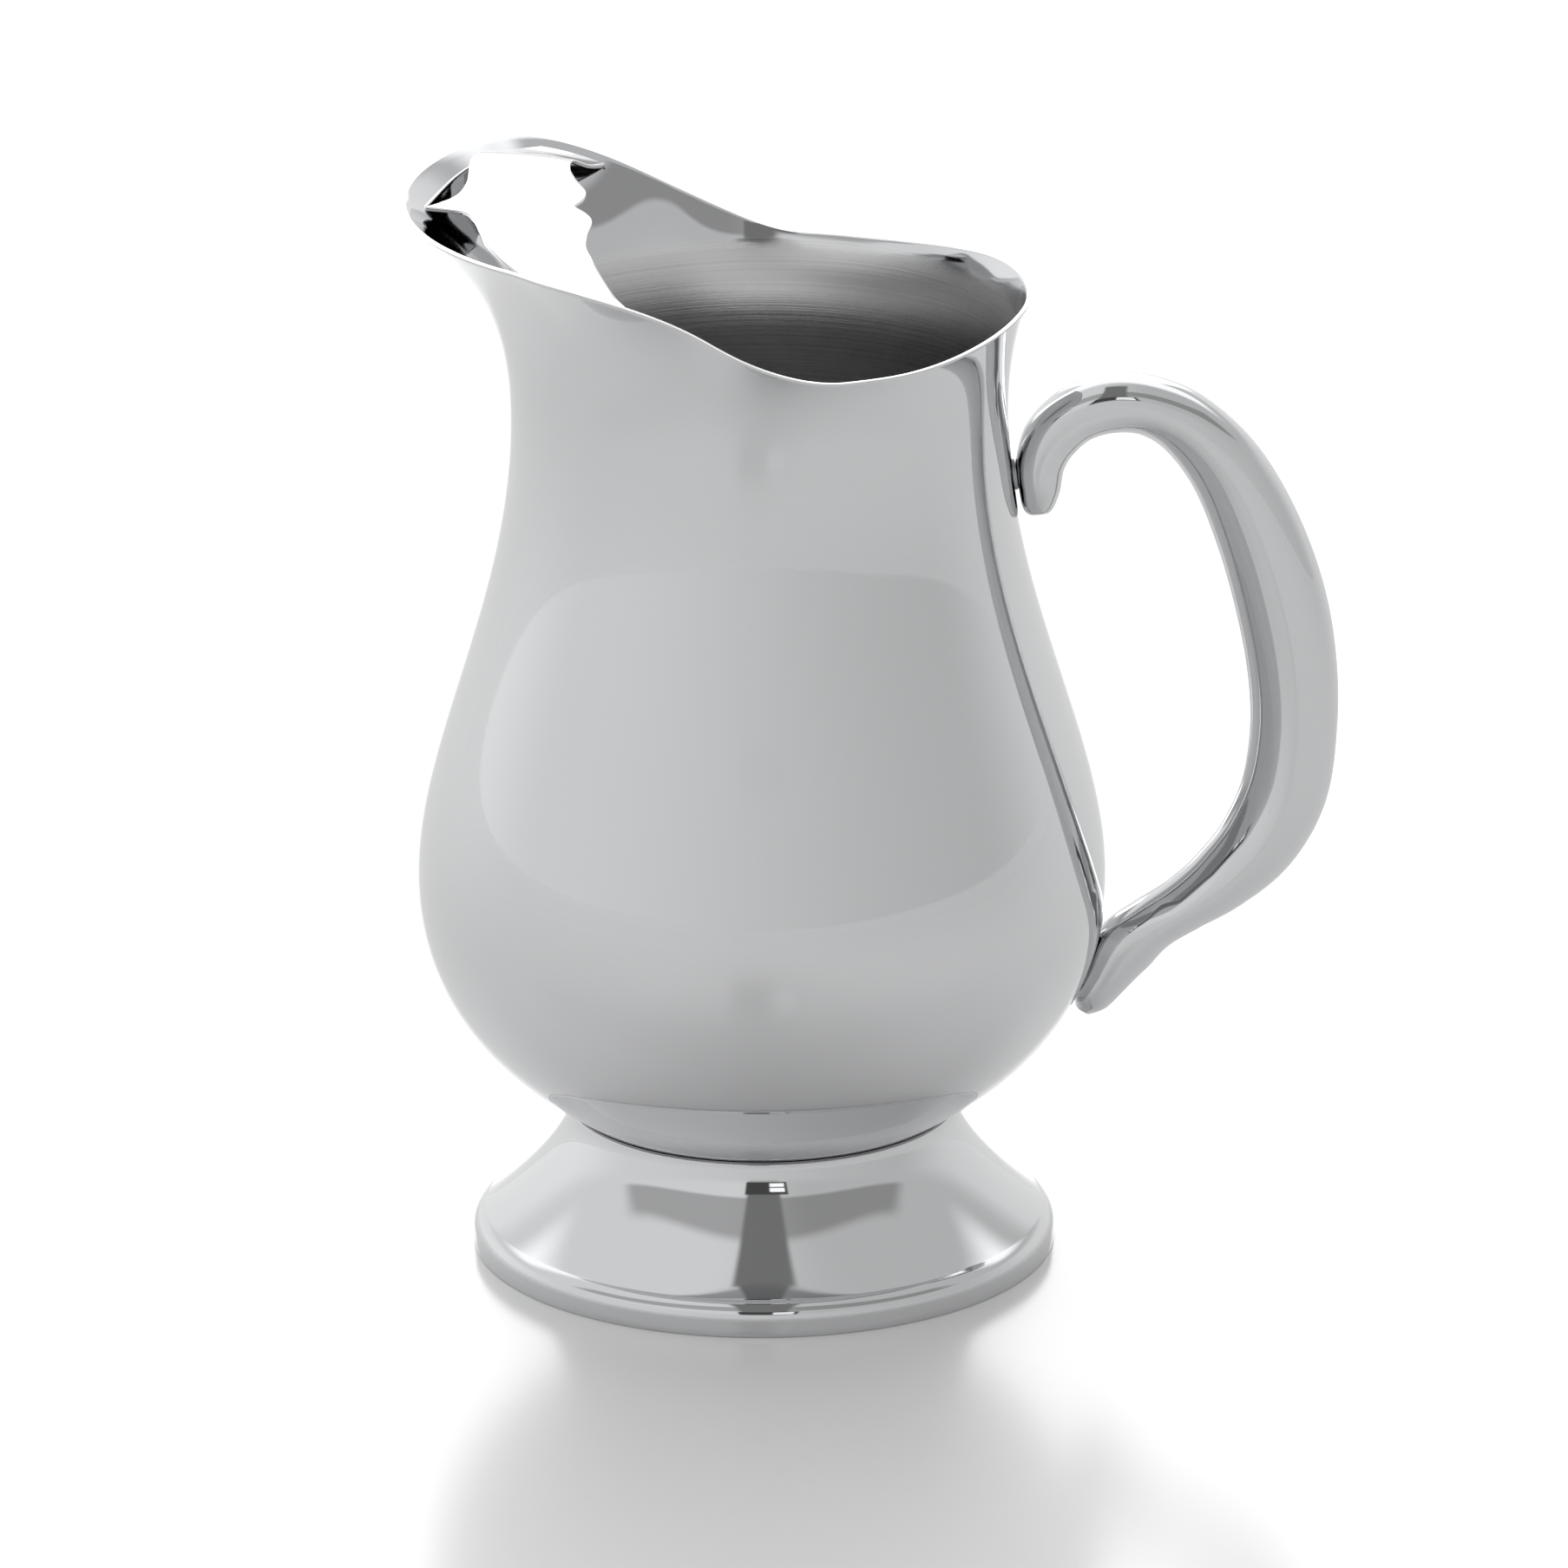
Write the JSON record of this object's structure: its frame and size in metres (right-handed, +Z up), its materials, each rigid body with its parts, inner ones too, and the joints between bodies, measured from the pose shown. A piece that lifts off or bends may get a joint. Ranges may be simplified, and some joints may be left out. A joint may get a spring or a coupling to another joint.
{
  "type": "footed water pitcher",
  "caption": "Footed pear-shaped metal water pitcher with a broad raised spout, an ice guard across it and a hollow scrolled side handle.",
  "frame": {"origin": "centre of the foot's bottom face, on the vessel's vertical axis", "axes": "+Z up along the vessel's axis, +X towards the handle, spout towards -X, XZ is the symmetry plane"},
  "size_m": [0.1937, 0.1436, 0.2271],
  "materials": {
    "vessel_steel": "mirror polished outside, satin brushed inside",
    "guard_steel": "mirror polished",
    "foot_steel": "mirror polished",
    "handle_steel": "mirror polished",
    "joint_metal": "dressed weld"
  },
  "bodies": {
    "root": {"body_shell": "vessel_steel", "ice_guard": "guard_steel", "guard_weld_near": "joint_metal", "guard_weld_far": "joint_metal", "foot_shell": "foot_steel", "foot_joint": "joint_metal", "handle_near_half": "handle_steel", "handle_far_half": "handle_steel", "handle_upper_weld": "joint_metal", "handle_lower_weld": "joint_metal"}
  },
  "joints": []
}
